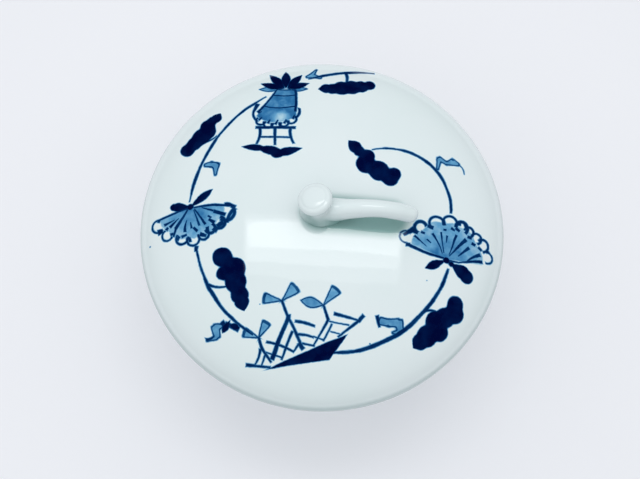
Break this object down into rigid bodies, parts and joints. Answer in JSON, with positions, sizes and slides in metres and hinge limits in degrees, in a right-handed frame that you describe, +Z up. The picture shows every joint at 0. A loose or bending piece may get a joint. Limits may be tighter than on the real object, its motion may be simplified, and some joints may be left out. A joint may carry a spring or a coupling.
{
  "type": "lidded rice bowl",
  "caption": "Round porcelain rice bowl on a foot ring, with a low domed lid that lifts off by a bent branch handle with a round knob.",
  "frame": {"origin": "centre of the foot ring's resting face, level with the surface that the bowl stands on", "axes": "+Z up along the axis of the bowl and lid, +X from that axis towards the tip of the handle's branch"},
  "size_m": [0.15, 0.15, 0.1058],
  "materials": {
    "glazed_porcelain": "gloss",
    "bare_porcelain": "matte"
  },
  "bodies": {
    "bowl": {"bowl_foot_ring": "glazed_porcelain", "bowl_body": "glazed_porcelain"},
    "lid": {"lid_dome": "glazed_porcelain", "lid_locating_ring": "bare_porcelain", "handle_stalk": "glazed_porcelain", "handle_knob": "glazed_porcelain"}
  },
  "joints": [
    {"name": "lid_lift", "type": "slide", "parent": "bowl", "child": "lid", "axis": [0, 0, 1], "range_m": [0, 0.12]}
  ]
}
